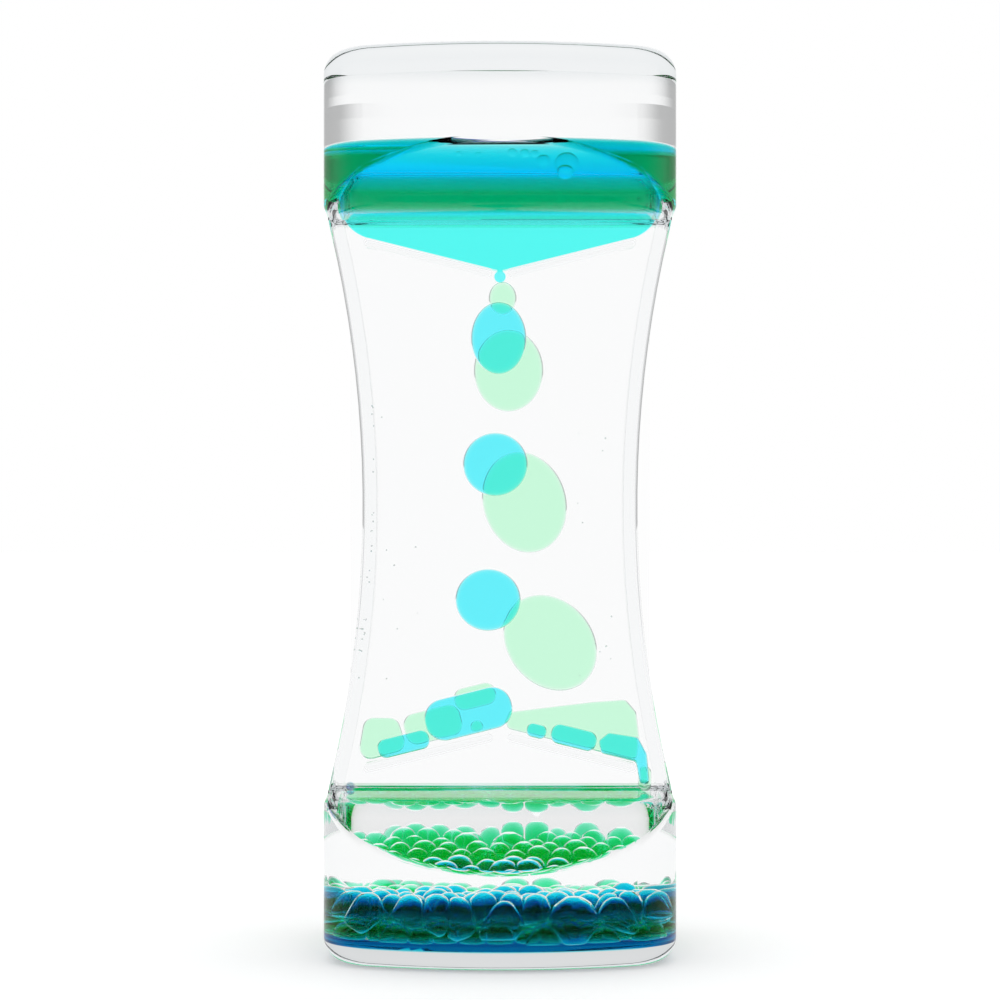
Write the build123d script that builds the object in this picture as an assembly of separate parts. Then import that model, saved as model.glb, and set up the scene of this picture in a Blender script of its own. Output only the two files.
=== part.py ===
from build123d import *
import math
import os

# All sizes in millimetres. Origin at the centre of the base, +Z up, front towards -Y.

# Clear case: two bowed ends joined by a thin flat waist
CASE_WIDTH = 52.0
CASE_DEPTH = 46.0
END_HEIGHT = 23.4
WAIST_HEIGHT = 87.2
WAIST_INSET = 5.4
WAIST_DEPTH = 10.8
BOW_RADIUS = 58.0
CORNER_RADIUS = 9.4
WINDOW_MARGIN = 0.9
LEDGE_RISE = 0.4
SHOULDER_RISE = 9.9
SHOULDER_ANGLE = 48.0
SHOULDER_ROLL = 7.0
KINK_RADIUS = 24.0
CREASE_RADIUS = 1.2
RIM_RADIUS = 1.0
EDGE_RADIUS = 3.6
WALL = 2.1
DIVIDER = 1.8

# End caps: plate, rim and a lip that locates inside the shells
CAP_HEIGHT = 4.8
CAP_PLATE = 2.4
LIP = 1.2
LIP_DEPTH = 2.5
BOND_GAP = 0.1

# Filling holes in the lower cap and their plugs
FILLER_BORE = 4.0
FILLER_HEAD = 7.0
FILLER_SEAT = 1.2
FILLER_SINK = 0.2
FILLER_OFFSET = 10.5
PLUG_GAP = 0.05

# Funnels: inclined ribs with a drip hole between them and a gap at each side
FUNNEL_SPACING = 70.0
FUNNEL_ANGLE = 14.0
RIB = 1.2
DRIP_HOLE = 2.2
SIDE_GAP = 1.4

# Liquids: the oil film that parts them from the walls, levels and rounding
FILM = 0.1
CROWN_COVER = 1.7
POOL_DEPTH = 5.6
BEAD_RADIUS = 1.95
BEAD_PITCH = 4.0
MENISCUS_RISE = 2.6
MENISCUS_BULGE = 1.4
PENDANT_RADIUS = 0.85
PENDANT_NECK = 0.8
PENDANT_DROP = 0.8
DROP_RIM = 0.9
LYING_RIM = 0.6
LANE_CLEARANCE = 0.5
BED_CLEARANCE = 0.5
BLUE_TRAVEL = 7.8
GREEN_TRAVEL = 2.0

FRONT = -1
REAR = 1
UP = 1
DOWN = -1

CASE_HEIGHT = WAIST_HEIGHT + 2 * END_HEIGHT
MID = CASE_HEIGHT / 2
CHANNEL = WAIST_DEPTH / 2 - WALL - DIVIDER / 2
SEAM_LOW = CAP_HEIGHT
SEAM_HIGH = CASE_HEIGHT - CAP_HEIGHT
OIL_HEAD = END_HEIGHT + WINDOW_MARGIN - SHOULDER_RISE - CROWN_COVER
LEVEL = CASE_HEIGHT - OIL_HEAD
POOL_TOP = CAP_PLATE + POOL_DEPTH
SIDE_RADIUS = ((WAIST_HEIGHT / 2) ** 2 + WAIST_INSET**2) / (2 * WAIST_INSET)
SIDE_CENTRE = CASE_WIDTH / 2 - WAIST_INSET + SIDE_RADIUS
APEX = FUNNEL_SPACING / 2
SLOPE = math.tan(math.radians(FUNNEL_ANGLE))
REACH = CASE_WIDTH + CASE_DEPTH


def half_width(rise, inset):
    """Half width of the waist at a height above or below its middle."""
    return SIDE_CENTRE - math.sqrt((SIDE_RADIUS + inset) ** 2 - rise**2)


RIB_START = DRIP_HOLE / 2 + RIB / 2
RIB_END = half_width(APEX, WALL) - SIDE_GAP - RIB / 2


def bow_edge(inset):
    """Half depth of the plan where its bow would meet the flat sides."""
    wide = CASE_WIDTH / 2 - inset
    bow = BOW_RADIUS - inset
    return CASE_DEPTH / 2 - inset - (bow - math.sqrt(bow**2 - wide**2))


def plan_face(inset):
    """Plan of the ends: bowed front and rear, flat sides, round corners."""
    wide = CASE_WIDTH / 2 - inset
    deep = CASE_DEPTH / 2 - inset
    edge = bow_edge(inset)
    outline = [
        ThreePointArc((-wide, -edge), (0, -deep), (wide, -edge)),
        Line((wide, -edge), (wide, edge)),
        ThreePointArc((wide, edge), (0, deep), (-wide, edge)),
        Line((-wide, edge), (-wide, -edge)),
    ]
    face = make_face(outline)
    return fillet(face.vertices(), CORNER_RADIUS - inset)


def recess_face(inset):
    """Side view of the space in front of a window, with its rolled shoulders."""
    start = Vector(WAIST_DEPTH / 2, WAIST_HEIGHT / 2 - WINDOW_MARGIN)
    crown = Vector(CASE_DEPTH / 2, start.Y + SHOULDER_RISE)
    slope = math.tan(math.radians(SHOULDER_ANGLE))
    ledge = Vector(crown.X - (SHOULDER_RISE - LEDGE_RISE) / slope, start.Y + LEDGE_RISE)
    beyond = crown + (crown - ledge).normalized() * END_HEIGHT
    upper = [Line(start, ledge), Line(ledge, beyond)]
    lower = [mirror(edge, about=Plane.XZ) for edge in upper]
    window = Line((start.X, -start.Y), (start.X, start.Y))
    mouth = Line((beyond.X, -beyond.Y), (beyond.X, beyond.Y))
    face = make_face(upper + lower + [window, mouth])
    rolls = [v for v in face.vertices() if abs(v.X - ledge.X) < LEDGE_RISE]
    face = fillet(rolls, SHOULDER_ROLL)
    if inset > 0:
        face = offset(face, amount=inset)
    return face


def front_face(inset):
    """Front view of the case: straight ends and sides drawn in by one long arc."""
    face = Pos(0, MID) * Rectangle(CASE_WIDTH - 2 * inset, CASE_HEIGHT)
    for sign in (-1, 1):
        face -= Pos(sign * SIDE_CENTRE, MID) * Circle(SIDE_RADIUS + inset)
    kinks = face.vertices().filter_by_position(Axis.Y, EDGE_RADIUS, CASE_HEIGHT - EDGE_RADIUS)
    return fillet(kinks, KINK_RADIUS - inset)


def window_recesses(inset):
    """The spaces in front of and behind the flat windows."""
    recess = extrude(Plane.YZ * recess_face(inset), amount=REACH / 2, both=True)
    recess = Pos(0, 0, MID) * recess
    return [recess, mirror(recess, about=Plane.XZ)]


def drawn_in_sides(inset):
    """All space inside the front view."""
    return extrude(Plane.XZ * front_face(inset), amount=REACH, both=True)


def hourglass(inset):
    """The case outline moved inwards."""
    block = extrude(plan_face(inset), amount=CASE_HEIGHT) & drawn_in_sides(inset)
    return block - window_recesses(inset)


def rounded_rims():
    """All space at the ends, and between them a plate with rounded rims."""
    plate = extrude(Plane.XZ * front_face(0), amount=WAIST_DEPTH / 2, both=True)
    plate = fillet(plate.faces().filter_by(Axis.Y).edges(), RIM_RADIUS)
    ledge = END_HEIGHT + WINDOW_MARGIN
    return plate + slab(-END_HEIGHT, ledge) + slab(CASE_HEIGHT - ledge, CASE_HEIGHT + END_HEIGHT)


def outside():
    """The case outline, with its shoulder creases and the rims of its waist softened."""
    block = extrude(plan_face(0), amount=CASE_HEIGHT)
    recesses = window_recesses(0)
    waisted = block - recesses
    creases = new_edges(block, *recesses, combined=waisted)
    return fillet(creases, CREASE_RADIUS) & drawn_in_sides(0) & rounded_rims()


def slab(low, high):
    """All space between two heights."""
    return Pos(0, 0, (low + high) / 2) * Box(REACH, REACH, high - low)


def side_space(side, gap):
    """All space on one side of the middle plane, from a gap outwards."""
    return Pos(0, side * (gap + REACH / 2), 0) * Box(REACH, REACH, 4 * CASE_HEIGHT)


OUTSIDE = outside()
CAVITY = hourglass(WALL)
WETTED = hourglass(WALL + FILM)


def shell(side):
    """One half of the case, open towards the divider and at both ends."""
    half = OUTSIDE & slab(SEAM_LOW, SEAM_HIGH) & side_space(side, DIVIDER / 2)
    return half - CAVITY


def divider_plate():
    """Plate between the halves, with a tongue that reaches up into each cap."""
    plate = OUTSIDE & slab(SEAM_LOW, SEAM_HIGH) & Box(REACH, DIVIDER, 4 * CASE_HEIGHT)
    wide = CASE_WIDTH - 2 * (WALL + LIP + BOND_GAP)
    tall = CASE_HEIGHT - 2 * CAP_PLATE
    return plate + Pos(0, 0, MID) * Box(wide, DIVIDER, tall)


def cap():
    """Upper end cap with its seam at height zero."""
    block = extrude(plan_face(0), amount=CAP_HEIGHT)
    block = fillet(block.faces().sort_by(Axis.Z)[-1].edges(), EDGE_RADIUS)
    hollow = extrude(plan_face(WALL + LIP), amount=CAP_HEIGHT - CAP_PLATE)
    lip_plan = plan_face(WALL + BOND_GAP) - plan_face(WALL + LIP)
    lip = extrude(lip_plan, amount=-LIP_DEPTH)
    slot = Pos(0, 0, -LIP_DEPTH / 2) * Box(REACH, DIVIDER + 2 * BOND_GAP, LIP_DEPTH)
    return block - hollow + (lip - slot)


def filler_holes():
    """Stepped filling holes of the lower cap, one for each chamber."""
    bore = Pos(0, 0, CAP_PLATE / 2) * Cylinder(FILLER_BORE / 2, CAP_PLATE)
    seat = Pos(0, 0, FILLER_SEAT / 2) * Cylinder(FILLER_HEAD / 2, FILLER_SEAT)
    return [Pos(0, side * FILLER_OFFSET, 0) * (bore + seat) for side in (FRONT, REAR)]


def filler_plug(side):
    """Plug with a flat head, sunk a little below the base."""
    head_height = FILLER_SEAT - FILLER_SINK
    head = Cylinder(FILLER_HEAD / 2 - PLUG_GAP, head_height)
    stem_height = CAP_PLATE - FILLER_SEAT
    stem = Cylinder(FILLER_BORE / 2 - PLUG_GAP, stem_height)
    plug = Pos(0, 0, FILLER_SINK + head_height / 2) * head
    plug += Pos(0, 0, FILLER_SEAT + stem_height / 2) * stem
    return Pos(0, side * FILLER_OFFSET, 0) * plug


def rib_rise(along):
    """Height of a rib's middle line above the middle of the case."""
    return APEX + (abs(along) - RIB_START) * SLOPE


def rib_faces(end):
    """Front view of the two ribs of a funnel at the upper or lower end."""
    length = (RIB_END - RIB_START) / math.cos(math.radians(FUNNEL_ANGLE))
    middle = (RIB_START + RIB_END) / 2
    faces = Sketch()
    for sign in (-1, 1):
        place = Pos(sign * middle, MID + end * rib_rise(middle))
        faces += place * Rot(0, 0, sign * end * FUNNEL_ANGLE) * SlotCenterToCenter(length, RIB)
    return faces


def in_channel(face, side, gap):
    """Raise a front view outline between the divider and a window."""
    near = DIVIDER / 2 + gap
    far = DIVIDER / 2 + CHANNEL - gap
    start = near if side == FRONT else -far
    return extrude(Plane.XZ.offset(start) * face, amount=far - near)


def in_chamber(face, side):
    """Raise a front view outline through the whole depth of one chamber."""
    deep = extrude(Plane.XZ * face, amount=REACH, both=True)
    return deep & WETTED & side_space(side, DIVIDER / 2 + FILM)


def funnel(side, end):
    """Two ribs that fill the channel from the divider to the window."""
    return in_channel(rib_faces(end), side, 0)


def pool_outline():
    """Front view of the liquid above an upper funnel, with its side menisci."""
    lift = (RIB / 2 + FILM) / math.cos(math.radians(FUNNEL_ANGLE))
    point = Vector(0, MID + rib_rise(0) + lift)
    foot = Vector(RIB_END, MID + rib_rise(RIB_END) + lift)
    wall = Vector(CASE_WIDTH / 2 - WALL, MID + WAIST_HEIGHT / 2 + MENISCUS_RISE)
    chord = (wall - foot).normalized()
    belly = (foot + wall) / 2 + Vector(chord.Y, -chord.X) * MENISCUS_BULGE
    brim = Vector(wall.X, LEVEL)
    right = [Line(point, foot), ThreePointArc(foot, belly, wall), Line(wall, brim)]
    left = [mirror(edge, about=Plane.YZ) for edge in right]
    surface = Line((-brim.X, brim.Y), (brim.X, brim.Y))
    return make_face(right + left + [surface]) - offset(rib_faces(UP), amount=FILM)


def pendant_outline():
    """Front view of the drop that hangs in the drip hole."""
    high = MID + rib_rise(0) + RIB
    low = MID + rib_rise(0) + RIB / 2 - PENDANT_DROP
    neck = Pos(0, (low + high) / 2) * Rectangle(PENDANT_NECK, high - low)
    return neck + Pos(0, low) * Circle(PENDANT_RADIUS)


def upper_pool(side, hangs):
    """Coloured liquid above an upper funnel."""
    pool = in_chamber(pool_outline(), side)
    if hangs:
        pool += in_channel(pendant_outline(), side, FILM)
    return pool


def drop_outline(aside, fallen, wide, tall, lean=0):
    """Front view of a falling drop, placed and sized by shares of the fall."""
    place = Pos(aside * FUNNEL_SPACING, MID + APEX - fallen * FUNNEL_SPACING)
    return place * Rot(0, 0, lean) * Ellipse(wide * FUNNEL_SPACING / 2, tall * FUNNEL_SPACING / 2)


BLUE_FALL = [
    drop_outline(aside=-0.0029, fallen=0.141, wide=0.1186, tall=0.1543),
    drop_outline(aside=-0.01, fallen=0.412, wide=0.1386, tall=0.1357),
    drop_outline(aside=-0.0257, fallen=0.703, wide=0.14, tall=0.1329),
]
GREEN_FALL = [
    drop_outline(aside=0.0057, fallen=0.052, wide=0.06, tall=0.07),
    drop_outline(aside=0.0186, fallen=0.209, wide=0.15, tall=0.1771),
    drop_outline(aside=0.0529, fallen=0.4935, wide=0.18, tall=0.2214, lean=17),
    drop_outline(aside=0.1086, fallen=0.797, wide=0.1829, tall=0.2257, lean=42),
]


def falling_drop(side, outline):
    """Flat round drop in the channel."""
    drop = in_channel(outline, side, FILM)
    return fillet(drop.edges(), DROP_RIM)


def on_ramp(along, above):
    """Place by shares of a lower rib's reach, along it and above its upper face."""
    lift = RIB / 2 / math.cos(math.radians(FUNNEL_ANGLE))
    x = along * RIB_END
    return (x, MID - rib_rise(x) + lift + above * RIB_END)


def puddle(rounding, *points):
    """Outline of a drop spread out on a lower rib, its corners rounded."""
    corners = Polygon(*[on_ramp(*point) for point in points], align=None)
    return fillet(corners.vertices(), rounding * RIB_END)


def ramp_pad(along, above, length, height, rounding):
    """Outline of a drop lying down the slope of a lower rib, in shares of the rib's reach."""
    tilt = -math.copysign(FUNNEL_ANGLE, along)
    pad = RectangleRounded(length * RIB_END, height * RIB_END, rounding * RIB_END, rotation=tilt)
    return Pos(*on_ramp(along, above)) * pad


def gap_drop(along, above, length, width):
    """Outline of a long drop on its way down the gap beside a lower rib."""
    slot = SlotOverall(length * RIB_END, width * RIB_END, rotation=90)
    return Pos(*on_ramp(along, above)) * slot


def lying_drop(side, outline):
    """Drop that lies on a lower rib or runs off it, with a rounded rim."""
    drop = in_channel(outline, side, FILM)
    return fillet(drop.faces().filter_by(Axis.Y).edges(), LYING_RIM)


BLUE_LYING = [
    ramp_pad(-0.728, 0.085, 0.400, 0.145, 0.065),
    ramp_pad(-0.238, 0.192, 0.670, 0.315, 0.148),
    ramp_pad(0.276, 0.072, 0.150, 0.105, 0.045),
    ramp_pad(0.557, 0.092, 0.350, 0.150, 0.065),
    puddle(
        0.034, (0.760, 0.025), (1.025, 0.025), (1.055, -0.130), (1.130, -0.130),
        (1.108, 0.110), (1.040, 0.215), (0.820, 0.195), (0.745, 0.115),
    ),
]
GREEN_LYING = [
    puddle(0.085, (-0.700, 0.020), (-0.780, 0.285), (-1.030, 0.350), (-1.090, 0.020)),
    ramp_pad(-0.510, 0.165, 0.440, 0.240, 0.090),
    ramp_pad(-0.190, 0.300, 0.320, 0.170, 0.075),
    Pos(*on_ramp(-0.176, 0.065)) * Circle(0.048 * RIB_END),
    puddle(
        0.045, (1.039, 0.020), (1.060, 0.201), (1.035, 0.392), (0.954, 0.467),
        (0.703, 0.387), (0.402, 0.276), (0.080, 0.156), (0.035, 0.023),
    ),
    gap_drop(1.100, -0.098, 0.190, 0.100),
]


def lying_drops(side, outlines):
    """All drops of one colour on a lower funnel."""
    return Part() + [lying_drop(side, outline) for outline in outlines]


def gap_bead(side, below, radius, off_wall):
    """Small round drop on the divider near the left side wall, below the middle of the case."""
    wall = CASE_WIDTH / 2 - WALL
    if below < WAIST_HEIGHT / 2:
        wall = half_width(below, WALL)
    place = Pos(off_wall + radius - wall, side * (DIVIDER / 2 + FILM + radius), MID - below)
    return place * Sphere(radius)


BLUE_STRAYS = [
    gap_bead(FRONT, below=42.3, radius=0.7, off_wall=0.3),
    gap_bead(FRONT, below=46.4, radius=1.2, off_wall=0.7),
    gap_bead(FRONT, below=48.4, radius=0.85, off_wall=0.3),
]


def end_fill(side, depth):
    """Fill of the lower end up to a depth: inside the cap's lip and above it."""
    lip_top = SEAM_LOW + LIP_DEPTH
    inside = extrude(plan_face(WALL + LIP + FILM), amount=CASE_HEIGHT)
    inside = inside & slab(CAP_PLATE + FILM, lip_top + FILM)
    above = extrude(plan_face(WALL + FILM), amount=CASE_HEIGHT)
    above = above & slab(lip_top + FILM, depth)
    return (inside + above) & side_space(side, DIVIDER / 2 + FILM)


def oil_head(side):
    """Clear oil that floats on the coloured liquid of the upper end."""
    return mirror(end_fill(side, OIL_HEAD - FILM), about=Plane.XY.offset(MID))


def in_plan(x, y, margin):
    """Whether a point lies inside the chamber plan by a margin."""
    inset = WALL + FILM + margin
    bow = BOW_RADIUS - inset
    centre = CASE_DEPTH / 2 - BOW_RADIUS
    corner = CORNER_RADIUS - WALL
    narrow = CASE_WIDTH / 2 - inset - corner
    if abs(x) > CASE_WIDTH / 2 - inset:
        return False
    if math.hypot(x, y - centre) > bow:
        return False
    return abs(x) < narrow or y < bow_edge(WALL) - margin - corner / 2


def pool_beads(side):
    """Domed drops that lie side by side on a lower pool."""
    dome = Sphere(BEAD_RADIUS, 0, 90, align=(Align.CENTER, Align.CENTER, Align.MIN))
    beads = Part()
    row_step = BEAD_PITCH * math.sin(math.radians(60))
    rows = int(CASE_DEPTH / row_step)
    columns = int(CASE_WIDTH / BEAD_PITCH)
    for row in range(rows):
        y = DIVIDER / 2 + FILM + BEAD_RADIUS + row * row_step
        shift = BEAD_PITCH / 2 * (row % 2)
        for column in range(-columns, columns):
            x = column * BEAD_PITCH + shift
            if in_plan(x, y, BEAD_RADIUS):
                beads += Pos(x, side * y, POOL_TOP) * dome
    return beads


def fall_lane(outlines, travel):
    """Front view of the lane that falling drops need in the oil."""
    boxes = [outline.bounding_box() for outline in outlines]
    left = min(box.min.X for box in boxes) - LANE_CLEARANCE
    right = max(box.max.X for box in boxes) + LANE_CLEARANCE
    low = min(box.min.Y for box in boxes) - travel - FILM
    high = MID + APEX
    return Pos((left + right) / 2, (low + high) / 2) * Rectangle(right - left, high - low)


def carrier_oil(side, falling, travel, lying, strays):
    """Clear oil between the upper and the lower liquid of one chamber."""
    low = POOL_TOP + BEAD_RADIUS + FILM
    room = Pos(0, (low + LEVEL) / 2) * Rectangle(CASE_WIDTH, LEVEL - low)
    room -= offset(pool_outline(), amount=FILM)
    room -= fall_lane(falling, travel)
    for end in (UP, DOWN):
        room -= offset(rib_faces(end), amount=FILM)
    for outline in lying:
        room -= offset(outline, amount=FILM)
        room -= Pos(0, -BED_CLEARANCE) * outline
    largest = room.faces().sort_by(SortBy.AREA)[-1]
    return in_chamber(largest, side) - strays + oil_head(side)


parts = {
    "front_shell": shell(FRONT),
    "rear_shell": shell(REAR),
    "divider_plate": divider_plate(),
    "top_cap": Pos(0, 0, SEAM_HIGH) * cap(),
    "bottom_cap": Pos(0, 0, SEAM_LOW) * mirror(cap(), about=Plane.XY) - filler_holes(),
    "front_filler_plug": filler_plug(FRONT),
    "rear_filler_plug": filler_plug(REAR),
    "front_upper_funnel": funnel(FRONT, UP),
    "front_lower_funnel": funnel(FRONT, DOWN),
    "rear_upper_funnel": funnel(REAR, UP),
    "rear_lower_funnel": funnel(REAR, DOWN),
    "blue_upper_pool": upper_pool(FRONT, True),
    "green_upper_pool": upper_pool(REAR, False),
    "blue_lower_pool": end_fill(FRONT, POOL_TOP),
    "green_lower_pool": end_fill(REAR, POOL_TOP),
    "blue_pool_beads": pool_beads(FRONT),
    "green_pool_beads": pool_beads(REAR),
    "blue_ramp_drops": lying_drops(FRONT, BLUE_LYING),
    "green_ramp_drops": lying_drops(REAR, GREEN_LYING),
    "blue_shoulder_beads": Part() + BLUE_STRAYS,
    "front_oil": carrier_oil(FRONT, BLUE_FALL, BLUE_TRAVEL, BLUE_LYING, BLUE_STRAYS),
    "rear_oil": carrier_oil(REAR, GREEN_FALL, GREEN_TRAVEL, GREEN_LYING, []),
}
for number, outline in enumerate(BLUE_FALL, 1):
    parts[f"blue_drop_{number}"] = falling_drop(FRONT, outline)
for number, outline in enumerate(GREEN_FALL, 1):
    parts[f"green_drop_{number}"] = falling_drop(REAR, outline)

os.makedirs("parts", exist_ok=True)
for name, shape in parts.items():
    print(name, shape.is_valid, len(shape.solids()), round(shape.volume, 2))
    export_step(shape, f"parts/{name}.step")
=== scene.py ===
# %% [markdown]
# # A liquid motion timer
# A clear plastic hourglass holds two thin chambers, one behind the other, with a plate between them.
# Blue drops fall through oil in the front chamber and green drops in the rear one.
# The solids come from the CAD frame, which is loaded first and never moved.
# Everything here is in metres, in the frame's own axes: +Z is up and the front looks towards -Y.

# %% Load the fixed frame
import math
import random

import bmesh
import bpy
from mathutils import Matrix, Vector


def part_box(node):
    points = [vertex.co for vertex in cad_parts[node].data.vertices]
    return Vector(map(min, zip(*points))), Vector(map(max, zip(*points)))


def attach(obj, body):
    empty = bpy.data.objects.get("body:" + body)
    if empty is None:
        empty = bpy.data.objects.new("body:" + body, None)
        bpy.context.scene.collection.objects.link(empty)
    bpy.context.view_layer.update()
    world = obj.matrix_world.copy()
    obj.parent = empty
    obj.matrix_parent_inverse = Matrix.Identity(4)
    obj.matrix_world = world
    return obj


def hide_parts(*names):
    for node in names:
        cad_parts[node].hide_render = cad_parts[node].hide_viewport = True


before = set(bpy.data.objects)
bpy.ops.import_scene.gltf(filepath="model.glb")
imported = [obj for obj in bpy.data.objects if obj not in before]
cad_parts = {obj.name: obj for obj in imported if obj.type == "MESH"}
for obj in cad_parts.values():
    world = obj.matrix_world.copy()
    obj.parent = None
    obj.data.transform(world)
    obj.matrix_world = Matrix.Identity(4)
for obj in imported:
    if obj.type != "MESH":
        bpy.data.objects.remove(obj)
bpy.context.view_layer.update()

MM = 0.001
scene = bpy.context.scene

# %% [markdown]
# ## The camera
# The photograph looks straight at the front from half height, so the upper and the lower edge bend alike.
# The lens could be guessed, but how much smaller the rear edges look gives it: about 95 mm at 0.4 m.

# %% Camera at the photograph's viewing angle
LENS = 95.0
SENSOR_WIDTH = 36.0
EYE_AWAY = 0.4
EYE_HEIGHT = 67.8 * MM
camera_data = bpy.data.cameras.new("camera")
camera_data.lens = LENS
camera_data.sensor_width = SENSOR_WIDTH
camera = bpy.data.objects.new("camera", camera_data)
camera.location = (0.0, -EYE_AWAY, EYE_HEIGHT)
camera.rotation_euler = (math.radians(90), 0, 0)
scene.collection.objects.link(camera)
scene.camera = camera
print("camera", tuple(camera.location), camera_data.lens)

# %% [markdown]
# ## The studio
# Clear plastic is drawn by what stands around it. In a room that is white on all sides its edges vanish,
# so photographers put grey cards beside a white background. Here the world is that room: white in front,
# behind, beside and above, and greyer on the four diagonals. The camera itself sees plain white.
# One world node tree does this with soft light and no lamps that would show as spots in the plastic.


# %% Helpers that add a shader node and fill its sockets
def add(tree, kind, links=None, **values):
    node = tree.nodes.new(kind)
    for name, value in values.items():
        setattr(node, name, value)
    for socket, value in (links or {}).items():
        if isinstance(value, bpy.types.NodeSocket):
            tree.links.new(value, node.inputs[socket])
        else:
            node.inputs[socket].default_value = value
    return node


def calc(tree, operation, first, second):
    """The result of a Math node on two numbers or sockets."""
    return add(tree, "ShaderNodeMath", {0: first, 1: second}, operation=operation).outputs[0]


# %% World: a white room with grey cards on its diagonals
CARD_GREY = 0.5
CARD_FADES_IN, CARD_IS_FULL = 0.12, 0.75
world = bpy.data.worlds.new("white_room")
scene.world = world
world.use_nodes = True
tree = world.node_tree
tree.nodes.clear()
direction = add(tree, "ShaderNodeTexCoord").outputs["Generated"]
split = add(tree, "ShaderNodeSeparateXYZ", {0: direction}).outputs
across = calc(tree, "MULTIPLY", split["X"], split["Y"])
doubled = calc(tree, "MULTIPLY", across, 2.0)
squared = calc(tree, "MULTIPLY", doubled, doubled)
card = add(tree, "ShaderNodeMapRange", {
    "Value": squared, "From Min": CARD_FADES_IN, "From Max": CARD_IS_FULL,
}, interpolation_type="SMOOTHSTEP").outputs[0]
path = add(tree, "ShaderNodeLightPath").outputs
hidden = calc(tree, "SUBTRACT", 1.0, path["Is Camera Ray"])
share = calc(tree, "MULTIPLY", card, hidden)
room = add(tree, "ShaderNodeMix", {"Factor": share}, data_type="RGBA")
room.inputs["A"].default_value = (1, 1, 1, 1)
room.inputs["B"].default_value = (CARD_GREY, CARD_GREY, CARD_GREY, 1)
background = add(tree, "ShaderNodeBackground", {"Color": room.outputs["Result"], "Strength": 1.0})
add(tree, "ShaderNodeOutputWorld", {"Surface": background.outputs[0]})
scene.view_settings.view_transform = "Standard"
print("room nodes", len(tree.nodes))

# %% [markdown]
# ## The floor
# A pale floor takes the soft shadow. Lit by the room it comes out a little under white,
# so a small glow that only the camera sees lifts it to the background's white.
# Through the plastic the floor would show its far edge as a line across the panel,
# so sight lines that the plastic lets through or mirrors see plain white paper that glows,
# with a painted shadow that greys it round the foot in place of the shade the foot casts.

# %% Floor disc
FLOOR_RADIUS = 3.0
FLOOR_SIDES = 64
floor_mesh = bmesh.new()
bmesh.ops.create_circle(floor_mesh, cap_ends=True, segments=FLOOR_SIDES, radius=FLOOR_RADIUS)
floor_data = bpy.data.meshes.new("floor")
floor_mesh.to_mesh(floor_data)
floor_mesh.free()
floor = bpy.data.objects.new("floor", floor_data)
scene.collection.objects.link(floor)
print("floor radius", FLOOR_RADIUS)

# %% Paper on the floor
PAPER_GREY = 0.86
FLOOR_LIFT = 0.3
# How grey the painted shadow round the foot makes the glowing paper seen through the plastic.
FOOT_PAINTED_SHADOW = 0.8
SHADE_FROM, SHADE_TO = 20 * MM, 80 * MM
paper = bpy.data.materials.new("pale_paper")
paper.use_nodes = True
tree = paper.node_tree
tree.nodes.clear()
path = add(tree, "ShaderNodeLightPath").outputs
through = calc(tree, "MAXIMUM", path["Is Transmission Ray"], path["Is Glossy Ray"])
lift = calc(tree, "MULTIPLY", path["Is Camera Ray"], FLOOR_LIFT)
glow = add(tree, "ShaderNodeEmission", {"Strength": lift}).outputs[0]
matte = add(tree, "ShaderNodeBsdfDiffuse", {"Color": (PAPER_GREY, PAPER_GREY, PAPER_GREY, 1)}).outputs[0]
seen_bare = add(tree, "ShaderNodeAddShader", {0: matte, 1: glow}).outputs[0]
place_on_floor = add(tree, "ShaderNodeTexCoord").outputs["Object"]
reach = add(tree, "ShaderNodeVectorMath", {0: place_on_floor}, operation="LENGTH").outputs["Value"]
# The glow dims towards the middle of the floor: a painted shadow round the foot.
shade = add(tree, "ShaderNodeMapRange", {
    "Value": reach, "From Min": SHADE_FROM, "From Max": SHADE_TO, "To Min": FOOT_PAINTED_SHADOW, "To Max": 1.0,
}).outputs[0]
seen_through = add(tree, "ShaderNodeEmission", {"Strength": shade}).outputs[0]
chosen = add(tree, "ShaderNodeMixShader", {0: through, 1: seen_bare, 2: seen_through}).outputs[0]
add(tree, "ShaderNodeOutputMaterial", {"Surface": chosen})
floor_data.materials.append(paper)
print("paper nodes", len(tree.nodes))

# %% [markdown]
# ## How light bends
# A clear piece bends light only by the step between what is on the two sides of a face.
# Plastic against air is a big step, plastic against oil a small one, and a bonded joint none at all.
# A separate material for each could be put on the faces, but a volume needs one material all round.
# So each clear piece carries a number on every face, its bend, and one material reads it.

# %% Refractive steps between the plastic, the oil, the dyed water and air
PLASTIC, OIL, WATER = 1.49, 1.43, 1.335
TO_AIR = PLASTIC
TO_OIL = PLASTIC / OIL
TO_WATER = PLASTIC / WATER
BONDED = 1.0
SOFT_EDGE = 1.1
WATER_TO_OIL = WATER / OIL
print("steps", [round(v, 3) for v in (TO_AIR, TO_OIL, TO_WATER, BONDED, WATER_TO_OIL)])


# %% A clear material: bends light, soaks up some of it, and has a faint moulded ripple
RIPPLE_SCALE = 90.0


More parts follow.
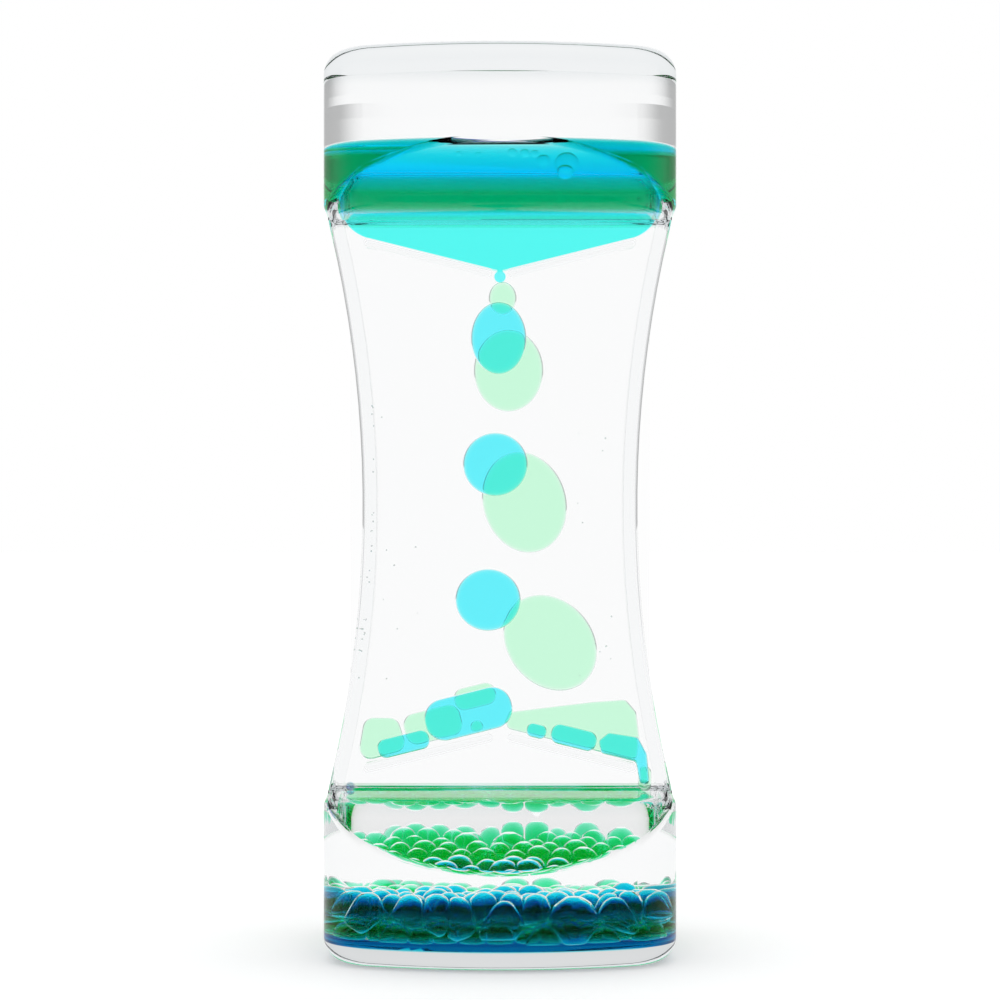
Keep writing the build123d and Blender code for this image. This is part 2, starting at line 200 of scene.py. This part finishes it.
def clear_material(name, bend, per_metre, ripple=0.0, by_face=False, mirror=1.0):
    made = bpy.data.materials.new(name)
    made.use_nodes = True
    tree = made.node_tree
    tree.nodes.clear()
    shader = add(tree, "ShaderNodeBsdfPrincipled", {
        "Base Color": (1, 1, 1, 1), "Roughness": 0.0, "Transmission Weight": 1.0, "IOR": bend,
        "Specular Tint": (mirror, mirror, mirror, 1),
    })
    if by_face:
        step = add(tree, "ShaderNodeAttribute", attribute_name="bend")
        tree.links.new(step.outputs["Fac"], shader.inputs["IOR"])
    if ripple:
        spot = add(tree, "ShaderNodeTexCoord").outputs["Object"]
        noise = add(tree, "ShaderNodeTexNoise", {"Vector": spot, "Scale": RIPPLE_SCALE, "Detail": 2.0})
        bump = add(tree, "ShaderNodeBump", {"Height": noise.outputs[0], "Distance": ripple, "Strength": 1.0})
        tree.links.new(bump.outputs[0], shader.inputs["Normal"])
    end = add(tree, "ShaderNodeOutputMaterial", {"Surface": shader.outputs[0]})
    density = max(per_metre)
    if density > 0:
        colour = [1 - loss / density for loss in per_metre] + [1]
        soak = add(tree, "ShaderNodeVolumeAbsorption", {"Color": colour, "Density": density})
        tree.links.new(soak.outputs[0], end.inputs["Volume"])
    return made


# %% [markdown]
# ## Finishes
# A surface colour would be the usual way, but then a thick drop looks no deeper than a thin one.
# So each liquid is known by how much red, green and blue light a metre of it takes away.
# A bare plastic face also mirrors a few hundredths of the white room straight on,
# which lies as a veil over deep colours. The photograph has no such veil, so the plastic's straight mirror
# is turned down. Slanting light is mirrored as ever.

# %% Finishes: loss of red, green and blue light for each metre of the stuff
FACE_MIRROR = 0.1
MOULD_RIPPLE = 0.006 * MM
clear_plastic = clear_material("clear_plastic", TO_AIR, (7, 6, 5.5), ripple=MOULD_RIPPLE, by_face=True,
                               mirror=FACE_MIRROR)
clear_oil = clear_material("clear_oil", BONDED, (0, 0, 0))
# The thin pool layers' dyes are painted paler than the deep ones, for the light of the bright window behind
# them.
blue_dye_painted_paler = clear_material("blue_dye_painted_paler", WATER_TO_OIL, (800, 9, 3), by_face=True)
green_dye_painted_paler = clear_material("green_dye_painted_paler", WATER_TO_OIL, (260, 5, 40), by_face=True)
blue_deep_dye = clear_material("blue_deep_dye", WATER_TO_OIL, (700, 42, 4), by_face=True)
green_deep_dye = clear_material("green_deep_dye", WATER_TO_OIL, (900, 28, 125), by_face=True)
blue_drop_dye = clear_material("blue_drop_dye", WATER_TO_OIL, (900, 50, 3))
green_drop_dye = clear_material("green_drop_dye", WATER_TO_OIL, (225, 8, 140))
blue_bead_dye = clear_material("blue_bead_dye", WATER_TO_OIL, (2000, 200, 95))
blue_cell_dye = clear_material("blue_cell_dye", WATER_TO_OIL, (2200, 195, 275))
blue_floor_dye = clear_material("blue_floor_dye", WATER_TO_OIL, (1800, 240, 115), by_face=True)
green_bead_dye = clear_material("green_bead_dye", WATER_TO_OIL, (700, 55, 260))
green_cell_dye = clear_material("green_cell_dye", WATER_TO_OIL, (1100, 95, 400))
print("finishes", [m.name for m in bpy.data.materials])

# %% [markdown]
# ## Copies of the clear solids
# The shells, the plate, the caps and the pools keep their CAD shape, but their faces need the bend number,
# and the walls have to be cut where the liquid stops. The frame's own meshes must not change,
# so each is copied, its loose triangles are merged, and planes cut it.
# Merging would lose the exact surface directions that the CAD gave, so every corner keeps its own.
# Faces are told apart by where they are and which way they look: square on to an axis, or sideways to it.

# %% Small lengths, and how far a face looks along an axis
MERGE_REACH = 0.001 * MM
CUT_SLACK = 0.0005 * MM
SMALL = 0.005 * MM
HAIR = 0.01 * MM
SQUARE_ON = 0.99
SIDEWAYS = 0.5
UPRIGHT = 0.1
print("hair in mm", HAIR / MM)


# %% A copy with its triangles merged
def merged_copy(node):
    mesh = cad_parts[node].data
    work = bmesh.new()
    work.from_mesh(mesh)
    facing = work.loops.layers.float_vector.new("facing")
    for face, polygon in zip(work.faces, mesh.polygons):
        for loop, index in zip(face.loops, polygon.loop_indices):
            loop[facing] = mesh.corner_normals[index].vector
    bmesh.ops.remove_doubles(work, verts=work.verts, dist=MERGE_REACH)
    work.faces.layers.float.new("bend")
    return work


# %% A cut by a plane, which can also take away what is above it
def cut(work, point, normal, keep_below=False):
    everything = work.verts[:] + work.edges[:] + work.faces[:]
    made = bmesh.ops.bisect_plane(work, geom=everything, dist=CUT_SLACK, plane_co=point, plane_no=normal,
                                  clear_outer=keep_below)
    if keep_below:
        rim = [item for item in made["geom_cut"] if isinstance(item, bmesh.types.BMEdge)]
        bmesh.ops.holes_fill(work, edges=rim)


# %% Skins of a piece, and a hair's breadth between pieces
def skins(work, is_joint):
    """Groups of connected faces left when the joint faces are taken away."""
    groups, taken = [], set()
    for start in work.faces:
        if start in taken or is_joint(start):
            continue
        group, waiting = [], [start]
        taken.add(start)
        while waiting:
            face = waiting.pop()
            group.append(face)
            for edge in face.edges:
                for other in edge.link_faces:
                    if other not in taken and not is_joint(other):
                        taken.add(other)
                        waiting.append(other)
        groups.append(group)
    return groups


def part_by_a_hair(work, axis, at, shift):
    """Pull the faces on one plane back, so that glued pieces don't share a surface."""
    for vert in work.verts:
        if abs(vert.co[axis] - at) < SMALL:
            vert.co[axis] += shift


# %% A finished mesh becomes a piece that rides its body
NO_DIRECTION = 0.5


def place(work, name, material, body, slot, *nodes):
    facing = work.loops.layers.float_vector.get("facing")
    work.normal_update()
    if facing:
        # The corners of a filled cut have no direction yet.
        for face in work.faces:
            for loop in face.loops:
                if loop[facing].length < NO_DIRECTION:
                    loop[facing] = face.normal
    for face in work.faces:
        face.smooth = True
    mesh = bpy.data.meshes.new(name)
    work.to_mesh(mesh)
    work.free()
    if facing:
        directions = [item.vector.copy() for item in mesh.attributes["facing"].data]
        mesh.normals_split_custom_set(directions)
        mesh.attributes.remove(mesh.attributes["facing"])
    mesh.materials.append(material)
    piece = bpy.data.objects.new(name, mesh)
    scene.collection.objects.link(piece)
    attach(piece, body)
    if nodes:
        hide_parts(*nodes)
    print(name, len(mesh.polygons), "faces")
    return piece


# %% Heights that the faces are numbered by
plate_low, plate_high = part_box("divider_plate")
shell_low, shell_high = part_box("front_shell")
top_cap_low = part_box("top_cap")[0]
bottom_cap_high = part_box("bottom_cap")[1]
FRONT_LEVEL = 120.0 * MM
REAR_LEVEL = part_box("green_upper_pool")[1].z
ROUND_RIM = 0.6 * MM
FUNNEL_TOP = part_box("front_upper_funnel")[1].z
HALF_PLATE = plate_high.y
INNER_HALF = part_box("blue_upper_pool")[1].x
print("levels and funnel top in mm", [round(v / MM, 2) for v in (FRONT_LEVEL, REAR_LEVEL, FUNNEL_TOP)])

# %% [markdown]
# ## The two shells
# Each shell is bonded to the plate and to both caps, so those rims bend nothing.
# They could stay exactly where the next piece begins, but a sight line can't tell two shared faces apart
# and gets caught between them, so a hair's breadth is left.
# The outer skin meets air. The inner skin meets dyed water in the upper end, and oil above and below it.
# The rounded crease between an end and the window bends less than bare plastic would,
# because the photograph shows hardly a line there.

# %% Shells
top_of_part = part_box("top_cap")[1].z
LEDGE = 24.3 * MM
CREASE_REACH = 7.5 * MM
LEAST_SLANT, MOST_SLANT = 0.03, 0.998


def dress_shell(node, level):
    work = merged_copy(node)
    for height in (level - ROUND_RIM, FUNNEL_TOP, top_cap_low.z, bottom_cap_high.z):
        cut(work, (0, 0, height), (0, 0, 1))
    bend = work.faces.layers.float["bend"]

    def is_joint(face):
        middle, normal = face.calc_center_median(), face.normal
        at_plate = abs(abs(middle.y) - HALF_PLATE) < SMALL and abs(normal.y) > SQUARE_ON
        to_seam = min(abs(middle.z - shell_low.z), abs(middle.z - shell_high.z))
        return at_plate or (to_seam < SMALL and abs(normal.z) > SQUARE_ON)

    for face in work.faces:
        face[bend] = BONDED
    groups = sorted(skins(work, is_joint), key=lambda g: max(abs(v.co.y) for f in g for v in f.verts))
    for face in groups[-1]:
        middle, normal = face.calc_center_median(), face.normal
        from_end = min(middle.z, top_of_part - middle.z)
        by_ledge = max(abs(middle.y), abs(from_end - LEDGE)) < CREASE_REACH
        slanting = abs(normal.x) < SIDEWAYS and LEAST_SLANT < abs(normal.z) < MOST_SLANT
        face[bend] = SOFT_EDGE if by_ledge and slanting else TO_AIR
    for group in groups[:-1]:
        for face in group:
            height = face.calc_center_median().z
            if bottom_cap_high.z < height < top_cap_low.z:
                face[bend] = TO_WATER if FUNNEL_TOP < height < level - ROUND_RIM else TO_OIL
    for side in (-1, 1):
        part_by_a_hair(work, 1, side * HALF_PLATE, side * HAIR)
    part_by_a_hair(work, 2, shell_low.z, HAIR)
    part_by_a_hair(work, 2, shell_high.z, -HAIR)
    print(node, "skins", [len(g) for g in groups])
    place(work, node + "_clear", clear_plastic, "case", "clear_plastic", node)


dress_shell("front_shell", FRONT_LEVEL)
dress_shell("rear_shell", REAR_LEVEL)

# %% [markdown]
# ## The plate between the chambers
# The plate all but vanishes, because oil and plastic bend light alike. Only its outer edge meets air.
# A plain box could stand for it, but the CAD solid has its exact outline between the shells and the caps.

# %% Divider plate
work = merged_copy("divider_plate")
bend = work.faces.layers.float["bend"]
for face in work.faces:
    middle, normal = face.calc_center_median(), face.normal
    on_edge = abs(normal.y) < SIDEWAYS and abs(normal.z) < SQUARE_ON
    face[bend] = TO_AIR if on_edge and shell_low.z < middle.z < shell_high.z else BONDED
for low in (plate_low.z, shell_low.z):
    part_by_a_hair(work, 2, low, HAIR)
for high in (plate_high.z, shell_high.z):
    part_by_a_hair(work, 2, high, -HAIR)
place(work, "divider_plate_clear", clear_plastic, "case", "clear_plastic", "divider_plate")


# %% [markdown]
# ## The caps
# A cap's rim sits on the shells and its lip goes down inside them. Both are glued and bend nothing.
# The rest of a cap meets air outside and oil inside,
# which bends light so nearly alike that it counts as bonded. So do the flat ends,
# and rounded edges bend less than bare plastic would: the photograph shows hardly a line in them.
# Plugs close the two filling holes of the lower cap.

# %% Caps
plug_low, plug_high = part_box("front_filler_plug")
HOLE_ROOM = 0.2 * MM
PLUG_REACH = (plug_high.x - plug_low.x) / 2 + HOLE_ROOM
PLUG_PLACE = abs(plug_high.y + plug_low.y) / 2
BEYOND_LIP = 1.1 * MM


def in_filling_hole(face):
    middle = face.calc_center_median()
    aside = math.hypot(middle.x, abs(middle.y) - PLUG_PLACE)
    return aside < PLUG_REACH and SMALL < middle.z < plug_high.z


def dress_cap(node, seam, side_bend, edge_bend):
    work = merged_copy(node)
    cut(work, (0, 0, seam), (0, 0, 1))
    if node == "bottom_cap":
        cut(work, (0, 0, plug_low.z), (0, 0, 1))
    bend = work.faces.layers.float["bend"]
    low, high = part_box(node)
    lip_side = 1 if abs(high.z - seam) < abs(low.z - seam) else -1

    def is_joint(face):
        middle, normal = face.calc_center_median(), face.normal
        outward = normal.x * middle.x + normal.y * middle.y > 0 or abs(middle.y) < 1.5 * HALF_PLATE
        at_seam = abs(middle.z - seam) < SMALL and abs(normal.z) > SQUARE_ON
        on_lip = (middle.z - seam) * lip_side > SMALL and abs(normal.z) < SIDEWAYS and outward
        return at_seam or on_lip or (node == "bottom_cap" and in_filling_hole(face))

    for face in work.faces:
        face[bend] = BONDED
    for group in skins(work, is_joint):
        outer = max(abs(v.co.x) for f in group for v in f.verts) > INNER_HALF + BEYOND_LIP
        for face in group:
            if outer and abs(face.normal.z) <= SQUARE_ON:
                face[bend] = side_bend if abs(face.normal.z) < UPRIGHT else edge_bend
    part_by_a_hair(work, 2, 0, HAIR)
    place(work, node + "_clear", clear_plastic, "case", "clear_plastic", node)


dress_cap("top_cap", shell_high.z, SOFT_EDGE, SOFT_EDGE)
dress_cap("bottom_cap", shell_low.z, TO_AIR, SOFT_EDGE)


# %% Filler plugs, glued in all round and as flat below as the cap
def dress_plug(node):
    work = merged_copy(node)
    bend = work.faces.layers.float["bend"]
    for face in work.faces:
        face[bend] = BONDED
    seat = sorted({round(vert.co.z, 6) for vert in work.verts})[1]
    part_by_a_hair(work, 2, seat, -HAIR)
    place(work, node + "_clear", clear_plastic, "case", "clear_plastic", node)


dress_plug("front_filler_plug")
dress_plug("rear_filler_plug")

# %% [markdown]
# ## Funnel ribs and oil
# A rib is plastic in oil and reaches from the plate to the window, so it shows as two thin lines at most.
# New bars could be modelled, but the CAD solids already fit the walls and only need the bend number.
# The oil bends light as the plastic does, which is why the drops seem to float in a solid block.

# %% Funnel ribs
def dress_funnel(node):
    work = merged_copy(node)
    bend = work.faces.layers.float["bend"]
    low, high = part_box(node)
    for face in work.faces:
        face[bend] = BONDED if abs(face.normal.y) > SQUARE_ON else TO_OIL
    part_by_a_hair(work, 1, low.y, HAIR)
    part_by_a_hair(work, 1, high.y, -HAIR)
    place(work, node + "_clear", clear_plastic, "case", "clear_plastic", node)


for side in ("front", "rear"):
    dress_funnel(side + "_upper_funnel")
    dress_funnel(side + "_lower_funnel")


# %% Finishes on solids that stay as they are
def finish_node(node, material):
    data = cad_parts[node].data
    data.materials.clear()
    data.materials.append(material)


for side in ("front", "rear"):
    finish_node(side + "_oil", clear_oil)
print("finished the oil")


# %% [markdown]
# ## The liquid above the funnels
# The dye stands on the upper funnel with clear oil above it.
# Water draws back from plastic that oil has wetted, so the top face rounds down towards the walls.
# A modifier could round it, but a bevel of that one edge keeps the rest.
# Only the top and its rim bend light by themselves; elsewhere the plastic's own faces already do.
# The thin layer behind the window and the deep part in the end are two pieces, one on top of the other,
# and the thin one has a paler dye, painted light, as the bright window of the photograph makes the thin
# layer look paler than the same liquid in the end.

# %% Round the rim of a pool's top
RIM_STEPS = 6
SAME_PLANE = math.radians(0.5)


def round_top(work, level):
    facing = work.loops.layers.float_vector["facing"]
    bend = work.faces.layers.float["bend"]
    cut(work, (0, 0, level - SMALL), (0, 0, 1), keep_below=True)
    bmesh.ops.dissolve_limit(work, angle_limit=SAME_PLANE, verts=work.verts, edges=work.edges)
    work.normal_update()
    top = max(work.faces, key=lambda face: (face.normal.z > SQUARE_ON) * face.calc_area())
    made = bmesh.ops.bevel(work, geom=top.edges[:], offset=ROUND_RIM, affect="EDGES", segments=RIM_STEPS,
                           profile=0.5, material=-1, clamp_overlap=False)
    work.normal_update()
    for face in work.faces:
        at_top = face.normal.z > SQUARE_ON and face.calc_center_median().z > level - 2 * SMALL
        face[bend] = WATER_TO_OIL if at_top else BONDED
    for face in made["faces"]:
        face[bend] = WATER_TO_OIL
        for loop in face.loops:
            loop[facing] = loop.vert.normal


# %% Upper pools, each in a thin and a deep piece
WINDOW_TOP = 111.6 * MM
DRAWN_IN_FROM = 112 * MM
DRAWN_IN_OVER = 5 * MM
BLUE_DRAWN_IN, GREEN_DRAWN_IN = 0.0, 0.03


def dress_pool(node, level, drawn_in, thin, deep, slot):
    for name, material, up in (("thin", thin, 1), ("deep", deep, -1)):
        work = merged_copy(node)
        round_top(work, level)
        for vert in work.verts:
            depth = min(max((DRAWN_IN_FROM - vert.co.z) / DRAWN_IN_OVER, 0), 1)
            vert.co.x *= 1 - drawn_in * depth
        cut(work, (0, 0, WINDOW_TOP - up * HAIR / 2), (0, 0, up), keep_below=True)
        place(work, f"{node}_{name}", material, "case", slot, node)


# The thin pieces take the paler dye: painted light for the bright window behind them.
dress_pool("blue_upper_pool", FRONT_LEVEL, BLUE_DRAWN_IN, blue_dye_painted_paler, blue_deep_dye, "blue_liquid")
dress_pool("green_upper_pool", REAR_LEVEL, GREEN_DRAWN_IN, green_dye_painted_paler, green_deep_dye, "green_liquid")

# %% [markdown]
# ## Falling and lying drops
# Squeezed between plate and window, a drop becomes a flat round pad. The CAD solids have that shape already,
# and each falling drop is a body of its own, so it keeps its solid and gets the dye.

# %% Dye on the drops
for number in (1, 2, 3):
    finish_node(f"blue_drop_{number}", blue_drop_dye)
for number in (1, 2, 3, 4):
    finish_node(f"green_drop_{number}", green_drop_dye)
finish_node("blue_ramp_drops", blue_drop_dye)
finish_node("green_ramp_drops", green_drop_dye)
finish_node("blue_shoulder_beads", blue_drop_dye)
print("dyed drops")

# %% [markdown]
# ## The drops that have arrived
# At the bottom the drops don't merge for a long while: they pack together like a foam,
# flat where they touch and domed on top, with thin films of oil between them.
# Spheres would leave big gaps. Instead every drop starts as a cube round its own seed point,
# planes between it and each neighbour cut it down, and a bevel with a subdivision rounds what is left.
# A bigger drop pushes those planes away from itself, by the squares of the two radii.

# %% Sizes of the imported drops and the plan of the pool's wall
PITCH = 3.7 * MM
ROW = PITCH * math.sin(math.radians(60))
FILM = 0.05 * MM
LIP = 1.2 * MM
LOWER_LAYER = 4.2 * MM
MERGED_DEPTH = 1.1 * MM
pool_low, pool_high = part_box("blue_lower_pool")
MERGED_TOP = pool_low.z + MERGED_DEPTH
WALL_X = pool_high.x
WALL_Y = -pool_low.y
BOW_RADIUS = 55.8 * MM
BOW_CENTRE = WALL_Y - BOW_RADIUS
CORNER = 7.2 * MM
CORNER_X = WALL_X - CORNER
CORNER_Y = BOW_CENTRE + math.sqrt((BOW_RADIUS - CORNER) ** 2 - CORNER_X ** 2)
print("pool wall in mm", [round(v / MM, 2) for v in (WALL_X, WALL_Y, CORNER_X, CORNER_Y)])


def wall_room(x, y):
    """Distance from a place in the pool's plan to the nearest wall."""
    if abs(x) > CORNER_X and y > CORNER_Y:
        return CORNER - math.hypot(abs(x) - CORNER_X, y - CORNER_Y)
    return min(WALL_X - abs(x), BOW_RADIUS - math.hypot(x, y - BOW_CENTRE))


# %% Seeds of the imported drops: place, radius and distance kept from the wall
ROWS, COLUMNS = range(-1, 8), range(-8, 9)
FIRST_ROW, LAYER_SHIFT = 0.6, 0.4
STRAY_X, STRAY_Y, STRAY_Z = 0.7, 0.6, 0.4
RADII = (1.8, 2.3)
BIG_ROOM = 1.2 * MM
LEAST_ROOM = 0.9 * MM


def pool_seeds(dice, big, upper_layer):
    seeds = [(Vector((x, y, z)), radius, 0.0) for x, y, z, radius in big]
    for layer, (height, inset) in enumerate([(LOWER_LAYER, LIP), (upper_layer, 0.0)]):
        for row in ROWS:
            for column in COLUMNS:
                x = (column + 0.5 * ((row + layer) % 2)) * PITCH + dice.uniform(-STRAY_X, STRAY_X) * MM
                y = HALF_PLATE + (row + FIRST_ROW + LAYER_SHIFT * layer) * ROW
                y += dice.uniform(-STRAY_Y, STRAY_Y) * MM
                spot = Vector((x, y, height + dice.uniform(-STRAY_Z, STRAY_Z) * MM))
                clear_of_big = all((spot - other).length > radius + BIG_ROOM
                                   for other, radius, _ in seeds[:len(big)])
                clearance = min(y - HALF_PLATE, wall_room(x, y) - inset)
                if clear_of_big and clearance > LEAST_ROOM:
                    seeds.append((spot, dice.uniform(*RADII) * MM, inset))
    return seeds


blue_big = [(10.3 * MM, 17.5 * MM, 7.2 * MM, 3.4 * MM)]
green_big = [(1.5 * MM, 12.0 * MM, 6.6 * MM, 2.9 * MM)]
BLUE_UPPER_LAYER, GREEN_UPPER_LAYER = 8.6 * MM, 7.4 * MM
blue_seeds = pool_seeds(random.Random(4), blue_big, BLUE_UPPER_LAYER)
green_seeds = pool_seeds(random.Random(9), green_big, GREEN_UPPER_LAYER)
print("packed drops", len(blue_seeds), len(green_seeds))


# %% Planes that bound one packed drop: neighbours, walls and a dome
NEIGHBOUR_REACH = 2.4 * PITCH
BOW_TURNS = (-0.06, 0, 0.06)
CORNER_DEGREES = (15, 35, 55, 75)
DOME_RINGS = ((0, 1), (32, 5), (62, 8))
RING_START = 0.3


def cell_planes(seed, radius, inset, seeds):
    for other, other_radius, _ in seeds:
        gap = other - seed
        if 0 < gap.length < NEIGHBOUR_REACH:
            share = 0.5 + (radius ** 2 - other_radius ** 2) / (2 * gap.length ** 2)
            yield seed + gap * share - gap.normalized() * FILM, gap.normalized()
    around = math.atan2(seed.y - BOW_CENTRE, seed.x)
    for turn in BOW_TURNS:
        outward = Vector((math.cos(around + turn), math.sin(around + turn), 0))
        yield Vector((0, BOW_CENTRE, 0)) + outward * (BOW_RADIUS - inset - FILM), outward
    for side in (-1, 1):
        yield Vector((side * (WALL_X - inset - FILM), 0, 0)), Vector((side, 0, 0))
        for degrees in CORNER_DEGREES:
            turn = math.radians(degrees)
            outward = Vector((side * math.cos(turn), math.sin(turn), 0))
            yield Vector((side * CORNER_X, CORNER_Y, 0)) + outward * (CORNER - inset - FILM), outward
    yield Vector((0, HALF_PLATE + 2 * FILM, 0)), Vector((0, -1, 0))
    yield Vector((0, 0, MERGED_TOP + FILM)), Vector((0, 0, -1))
    for degrees, count in DOME_RINGS:
        flat, up = math.sin(math.radians(degrees)), math.cos(math.radians(degrees))
        for number in range(count):
            turn = 2 * math.pi * (number + RING_START) / count
            outward = Vector((flat * math.cos(turn), flat * math.sin(turn), up))
            yield seed + outward * radius, outward


# %% One packed drop
CELL_SLACK = 0.002 * MM
CELL_MERGE = 0.5 * MM
CELL_BEVEL = 0.3 * MM


def add_cell(work, seed, radius, inset, seeds):
    cell = bmesh.new()
    bmesh.ops.create_cube(cell, size=4 * radius)
    bmesh.ops.translate(cell, verts=cell.verts, vec=seed)
    for point, normal in cell_planes(seed, radius, inset, seeds):
        if max((vert.co - point).dot(normal) for vert in cell.verts) <= 0:
            continue
        geometry = cell.verts[:] + cell.edges[:] + cell.faces[:]
        made = bmesh.ops.bisect_plane(cell, geom=geometry, dist=CELL_SLACK, plane_co=point, plane_no=normal,
                                      clear_outer=True)
        rim = [item for item in made["geom_cut"] if isinstance(item, bmesh.types.BMEdge)]
        if rim:
            bmesh.ops.holes_fill(cell, edges=rim)
    bmesh.ops.remove_doubles(cell, verts=cell.verts, dist=CELL_MERGE)
    bmesh.ops.bevel(cell, geom=cell.edges[:], offset=CELL_BEVEL, affect="EDGES", segments=1, profile=0.5,
                    material=-1, clamp_overlap=True)
    scratch = bpy.data.meshes.new("cell")
    cell.to_mesh(scratch)
    cell.free()
    work.from_mesh(scratch)
    bpy.data.meshes.remove(scratch)


# %% The two packed pools
def packed_pool(name, seeds, wanted_inset, side, material, slot, *nodes):
    work = bmesh.new()
    for seed, radius, inset in seeds:
        if inset == wanted_inset:
            add_cell(work, seed, radius, inset, seeds)
    if side < 0:
        bmesh.ops.scale(work, verts=work.verts, vec=(1, -1, 1))
    bmesh.ops.recalc_face_normals(work, faces=work.faces)
    piece = place(work, name, material, "case", slot, *nodes)
    rounding = piece.modifiers.new("round", "SUBSURF")
    rounding.levels = rounding.render_levels = 1


packed_pool("blue_packed_drops", blue_seeds, LIP, -1, blue_cell_dye, "blue_liquid", "blue_lower_pool")
packed_pool("blue_top_beads", blue_seeds, 0.0, -1, blue_bead_dye, "blue_liquid", "blue_pool_beads")
packed_pool("green_packed_drops", green_seeds, LIP, 1, green_cell_dye, "green_liquid", "green_lower_pool")
packed_pool("green_top_beads", green_seeds, 0.0, 1, green_bead_dye, "green_liquid", "green_pool_beads")

# %% [markdown]
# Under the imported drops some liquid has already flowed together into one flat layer.
# A new slab could be modelled, but a slice off the foot of the pool's own solid already fits the walls.


# %% Merged layers
def merged_layer(node, material, slot):
    work = merged_copy(node)
    cut(work, (0, 0, MERGED_TOP), (0, 0, 1), keep_below=True)
    bend = work.faces.layers.float["bend"]
    for face in work.faces:
        face[bend] = WATER_TO_OIL if face.normal.z > SQUARE_ON else BONDED
    place(work, node + "_merged", material, "case", slot, node)


merged_layer("blue_lower_pool", blue_floor_dye, "blue_liquid")
merged_layer("green_lower_pool", green_deep_dye, "green_liquid")

# %% [markdown]
# ## Bubbles
# Turning the timer over drags some oil down into the blue liquid. It rises again as round bubbles that rest
# under the liquid's top. Specks of air stay on the window and along the left wall.
# Both are plain spheres: what shows them is the step in bending at their skin.


# %% Spheres of one stuff inside another
def bubbles(name, spots, bend, detail, slot):
    work = bmesh.new()
    for spot, radius in spots:
        made = bmesh.ops.create_icosphere(work, subdivisions=detail, radius=radius)
        bmesh.ops.translate(work, verts=made["verts"], vec=spot)
    place(work, name, clear_material(name + "_skin", bend, (0, 0, 0)), "case", slot)


# %% Oil bubbles under the blue liquid's top: x, y, z and radius in mm
RISING_MM = [
    (9.7, -15.2, 117.9, 1.7), (3.6, -16.8, 119.0, 0.7), (5.0, -16.6, 119.0, 0.6), (6.3, -15.8, 118.1, 0.95),
    (9.5, -14.6, 116.6, 1.2), (1.8, -16.8, 119.1, 0.7), (-6.0, -16.0, 119.2, 0.4), (-3.2, -15.6, 119.2, 0.4),
]
rising = [(Vector(spot) * MM, radius * MM) for *spot, radius in RISING_MM]
bubbles("rising_oil", rising, OIL / WATER, detail=3, slot="clear_oil")

# %% Specks of air on the front window, most of them along its left edge, in mm
SPECKS, SPECKS_AT_EDGE = 44, 26
LOWEST, HIGHEST = 40, 82
WAIST, WAIST_HALF, FLARE, FLARE_OVER = 75, 19.0, 1.6, 28
EDGE_STRAY = 0.2
PANEL_FROM, PANEL_TO = 11.5, 18.0
SPECK_DEPTH = -3.05
SMALLEST, LARGEST = 0.08, 0.16
dice = random.Random(21)
specks = []
for number in range(SPECKS):
    height = dice.uniform(LOWEST, HIGHEST)
    edge = WAIST_HALF + FLARE * ((WAIST - height) / FLARE_OVER) ** 2 + dice.uniform(-EDGE_STRAY, EDGE_STRAY)
    aside = -edge if number < SPECKS_AT_EDGE else dice.choice((-1, 1)) * dice.uniform(PANEL_FROM, PANEL_TO)
    specks.append((Vector((aside, SPECK_DEPTH, height)) * MM, dice.uniform(SMALLEST, LARGEST) * MM))
bubbles("trapped_air", specks, 1 / OIL, detail=1, slot="clear_oil")

# %% [markdown]
# ## Paths of light
# A sight line crosses many faces in the imported drops, and it ends black
# when it has crossed as many as are allowed.
# The drops could have fewer faces, but they would lose their rims, so light may pass more faces than usual.

# %% Light paths
MOST_FACES = 64
scene.cycles.max_bounces = MOST_FACES
scene.cycles.transmission_bounces = MOST_FACES
scene.cycles.transparent_max_bounces = MOST_FACES
